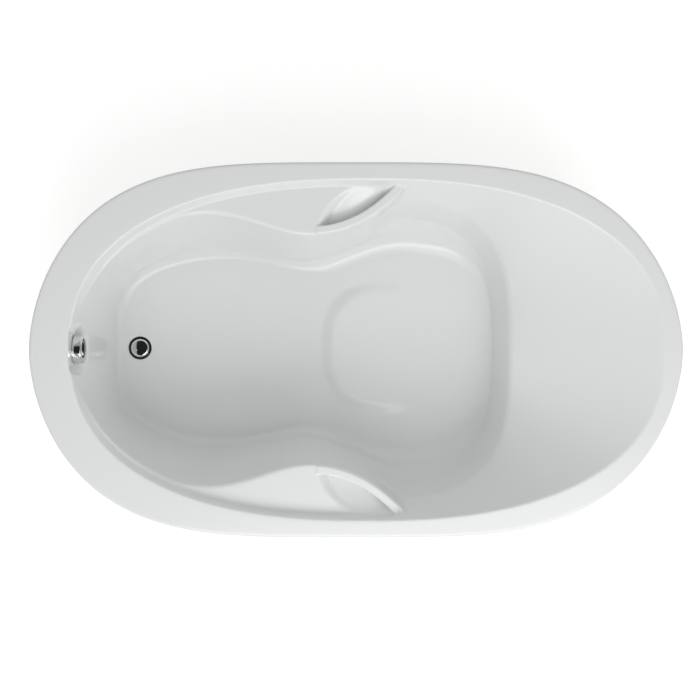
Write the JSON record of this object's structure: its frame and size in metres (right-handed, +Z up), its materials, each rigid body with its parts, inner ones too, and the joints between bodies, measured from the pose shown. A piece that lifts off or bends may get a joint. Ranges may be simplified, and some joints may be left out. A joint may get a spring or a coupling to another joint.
{
  "type": "drop-in bathtub",
  "caption": "Oval white drop-in bath with moulded armrest grips, sloping backrest, raised seat, knob-driven pop-up waste and levelling legs.",
  "frame": {"origin": "on the floor under the middle of the rim", "axes": "+X from the foot end (drain and overflow) to the head end (backrest), +Z up, +Y to the right of a bather who sits facing the foot end"},
  "size_m": [1.8289, 1.0499, 0.56],
  "materials": {
    "white_acrylic": "high-gloss white acrylic",
    "plywood": "bare plywood",
    "galvanised_steel": "galvanised sheet",
    "zinc_steel": "bright zinc plate",
    "black_nylon": "moulded nylon",
    "chrome_trim": "polished chrome plate",
    "black_rubber": "soft rubber",
    "waste_plastic": "white waste pipe",
    "brass_parts": "plain brass",
    "cable_sleeve": "ribbed cable sleeve"
  },
  "bodies": {
    "bath": {"tub_shell": "white_acrylic", "tap_deck_board": "plywood", "base_board": "plywood", "seat_packer": "plywood", "front_rail": "galvanised_steel", "rear_rail": "galvanised_steel", "rail_screws": "zinc_steel", "leg_nuts": "zinc_steel", "drain_flange": "chrome_trim", "drain_gasket": "black_rubber", "drain_shoe": "waste_plastic", "rocker_pin": "brass_parts", "shoe_pipe": "waste_plastic", "waste_tee": "waste_plastic", "overflow_pipe": "waste_plastic", "slip_nuts": "waste_plastic", "slip_washers": "black_rubber", "overflow_gasket": "black_rubber", "overflow_elbow": "waste_plastic", "overflow_plate": "chrome_trim", "overflow_screws": "zinc_steel", "lift_cable": "cable_sleeve"},
    "knob": {"overflow_knob": "chrome_trim", "knob_spindle": "brass_parts", "cable_drum": "black_nylon"},
    "stopper": {"stopper_cap": "chrome_trim", "stopper_seal": "black_rubber", "stopper_stem": "brass_parts"},
    "rocker": {"lift_rocker": "brass_parts"},
    "leg_front_left": {"leg_stud_front_left": "zinc_steel", "foot_pad_front_left": "black_nylon"},
    "leg_front_right": {"leg_stud_front_right": "zinc_steel", "foot_pad_front_right": "black_nylon"},
    "leg_rear_left": {"leg_stud_rear_left": "zinc_steel", "foot_pad_rear_left": "black_nylon"},
    "leg_rear_right": {"leg_stud_rear_right": "zinc_steel", "foot_pad_rear_right": "black_nylon"}
  },
  "joints": [
    {"name": "knob_turn", "type": "hinge", "parent": "bath", "child": "knob", "pos_m": [-0.78, 0, 0.485], "axis": [1, 0, 0], "range_deg": [0, 120]},
    {"name": "stopper_lift", "type": "slide", "parent": "bath", "child": "stopper", "axis": [0, 0, 1], "range_m": [0, 0.008]},
    {"name": "rocker_tip", "type": "hinge", "parent": "bath", "child": "rocker", "pos_m": [-0.676, 0.019, 0.066], "axis": [-1, 0, 0], "range_deg": [0, 22.5]},
    {"name": "front_left_leg_screw", "type": "slide", "parent": "bath", "child": "leg_front_left", "axis": [0, 0, -1], "range_m": [-0.006, 0.025]},
    {"name": "front_right_leg_screw", "type": "slide", "parent": "bath", "child": "leg_front_right", "axis": [0, 0, -1], "range_m": [-0.006, 0.025]},
    {"name": "rear_left_leg_screw", "type": "slide", "parent": "bath", "child": "leg_rear_left", "axis": [0, 0, -1], "range_m": [-0.006, 0.025]},
    {"name": "rear_right_leg_screw", "type": "slide", "parent": "bath", "child": "leg_rear_right", "axis": [0, 0, -1], "range_m": [-0.006, 0.025]}
  ],
  "couplings": [
    {"joint": "stopper_lift", "follows": "knob_turn", "m_per_rad": 0.0038197},
    {"joint": "rocker_tip", "follows": "knob_turn", "ratio": 0.1875}
  ]
}
